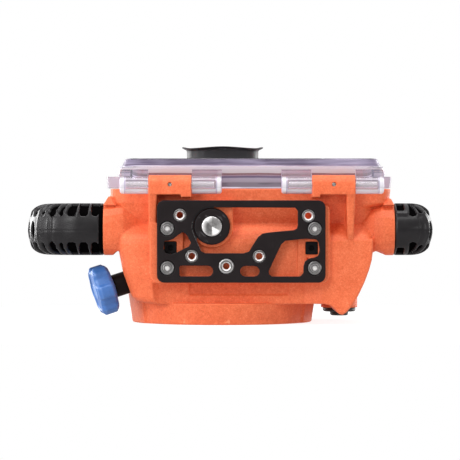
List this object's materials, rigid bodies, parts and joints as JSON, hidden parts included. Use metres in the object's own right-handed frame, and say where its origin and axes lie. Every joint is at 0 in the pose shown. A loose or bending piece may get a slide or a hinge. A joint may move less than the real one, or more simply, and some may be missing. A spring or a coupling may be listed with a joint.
{
  "type": "underwater camera housing",
  "caption": "Moulded underwater camera housing with hinged clear back, lens port ring, side grips, accessory plate, sealed knob, lever, dials and buttons.",
  "frame": {"origin": "middle of the footprint, at the plane of the lens port ring's resting face", "axes": "+X along the hinge towards the full-length grip, +Y from the accessory plate towards the controls, +Z from the lens port towards the clear back"},
  "size_m": [0.291, 0.161, 0.1295],
  "materials": {
    "orange_shell": "moulded glass-filled orange plastic, matte with a faint mottle",
    "clear_back": "clear polished plastic with a faint lavender tint",
    "black_rubber": "satin black rubber",
    "black_plastic": "satin black plastic",
    "black_anodised": "fine bead-blasted black anodised aluminium",
    "stainless": "turned stainless steel",
    "blue_plastic": "satin mid blue plastic",
    "seal_rubber": "smooth black rubber",
    "window": "clear polished glass",
    "tray_metal": "dark grey anodised aluminium"
  },
  "bodies": {
    "housing": {"main_shell": "orange_shell", "left_grip": "black_rubber", "right_grip": "black_rubber", "zoom_gland": "black_plastic", "accessory_port_plug": "black_plastic", "port_mount_ring": "black_anodised", "accessory_plate": "black_anodised", "captive_nut_left": "black_anodised", "captive_nut_right": "black_anodised", "valve_body": "black_anodised", "shutter_gland": "black_anodised", "plate_screw_upper_left": "stainless", "plate_screw_lower_left": "stainless", "plate_screw_upper_right": "stainless", "plate_screw_lower_right": "stainless", "plate_insert_top_left": "stainless", "plate_insert_top_right": "stainless", "plate_insert_bottom_left": "stainless", "plate_insert_bottom_right": "stainless", "plate_insert_centre": "stainless", "valve_spring": "stainless", "hinge_pin_left": "stainless", "hinge_pin_right": "stainless", "hinge_set_screw_left": "stainless", "hinge_set_screw_right": "stainless", "tray_screw_left": "stainless", "tray_screw_right": "stainless", "camera_screw": "stainless", "latch_pivot_left": "stainless", "latch_pivot_right": "stainless", "port_release_spring": "stainless", "accessory_port_seal": "seal_rubber", "camera_tray": "tray_metal"},
    "lid": {"back_lid": "clear_back", "lid_seal": "seal_rubber", "eyecup": "black_rubber", "eyepiece_window": "window", "latch_stud_left": "stainless", "latch_stud_right": "stainless", "button_spring_1": "stainless", "button_spring_2": "stainless", "button_spring_3": "stainless", "button_spring_4": "stainless"},
    "back_button_a": {"back_button_1": "black_plastic"},
    "back_button_b": {"back_button_2": "black_plastic"},
    "back_button_c": {"back_button_3": "black_plastic"},
    "back_button_d": {"back_button_4": "black_plastic"},
    "latch_left": {"latch_lever_left": "black_anodised"},
    "latch_right": {"latch_lever_right": "black_anodised"},
    "zoom_control": {"zoom_knob": "blue_plastic", "zoom_shaft": "stainless", "zoom_pinion": "black_plastic"},
    "vacuum_button": {"valve_button": "stainless"},
    "shutter": {"shutter_lever": "black_anodised", "shutter_shaft": "stainless"},
    "dial": {"control_dial": "black_anodised"},
    "mode": {"mode_dial": "black_anodised"},
    "port_release": {"port_release_button": "stainless"}
  },
  "joints": [
    {"name": "lid_hinge", "type": "hinge", "parent": "housing", "child": "lid", "pos_m": [0.01613, -0.0725, 0.0987], "axis": [1, 0, 0], "range_deg": [0, 110]},
    {"name": "latch_left_turn", "type": "hinge", "parent": "housing", "child": "latch_left", "pos_m": [-0.04887, 0.0756, 0.088], "axis": [0, 1, 0], "range_deg": [0, 76]},
    {"name": "latch_right_turn", "type": "hinge", "parent": "housing", "child": "latch_right", "pos_m": [0.08113, 0.0756, 0.088], "axis": [0, -1, 0], "range_deg": [0, 76]},
    {"name": "zoom_turn", "type": "hinge", "parent": "housing", "child": "zoom_control", "pos_m": [-0.07287, -0.038, 0.0295], "axis": [-0.9303, -0.2081, -0.3021], "continuous": true},
    {"name": "vacuum_press", "type": "slide", "parent": "housing", "child": "vacuum_button", "axis": [0, 1, 0], "range_m": [0, 0.002], "stiffness_N_per_m": 600, "springref_m": -0.002, "deforming": ["valve_spring"]},
    {"name": "shutter_pull", "type": "hinge", "parent": "housing", "child": "shutter", "pos_m": [0.07113, 0.076, 0.034], "axis": [0, -1, 0], "range_deg": [0, 12], "stiffness_Nm_per_rad": 0.05, "springref_deg": -17.19},
    {"name": "dial_turn", "type": "hinge", "parent": "housing", "child": "dial", "pos_m": [0.05313, 0.076, 0.064], "axis": [0, 1, 0], "continuous": true},
    {"name": "mode_turn", "type": "hinge", "parent": "housing", "child": "mode", "pos_m": [-0.05287, 0.076, 0.037], "axis": [0, 1, 0], "continuous": true},
    {"name": "port_release_press", "type": "slide", "parent": "housing", "child": "port_release", "axis": [0, -1, 0], "range_m": [0, 0.002], "stiffness_N_per_m": 400, "springref_m": -0.002, "deforming": ["port_release_spring"]},
    {"name": "back_button_a_press", "type": "slide", "parent": "lid", "child": "back_button_a", "axis": [0, 0, -1], "range_m": [0, 0.002], "stiffness_N_per_m": 300, "springref_m": -0.002, "deforming": ["button_spring_1"]},
    {"name": "back_button_b_press", "type": "slide", "parent": "lid", "child": "back_button_b", "axis": [0, 0, -1], "range_m": [0, 0.002], "stiffness_N_per_m": 300, "springref_m": -0.002, "deforming": ["button_spring_2"]},
    {"name": "back_button_c_press", "type": "slide", "parent": "lid", "child": "back_button_c", "axis": [0, 0, -1], "range_m": [0, 0.002], "stiffness_N_per_m": 300, "springref_m": -0.002, "deforming": ["button_spring_3"]},
    {"name": "back_button_d_press", "type": "slide", "parent": "lid", "child": "back_button_d", "axis": [0, 0, -1], "range_m": [0, 0.002], "stiffness_N_per_m": 300, "springref_m": -0.002, "deforming": ["button_spring_4"]}
  ]
}
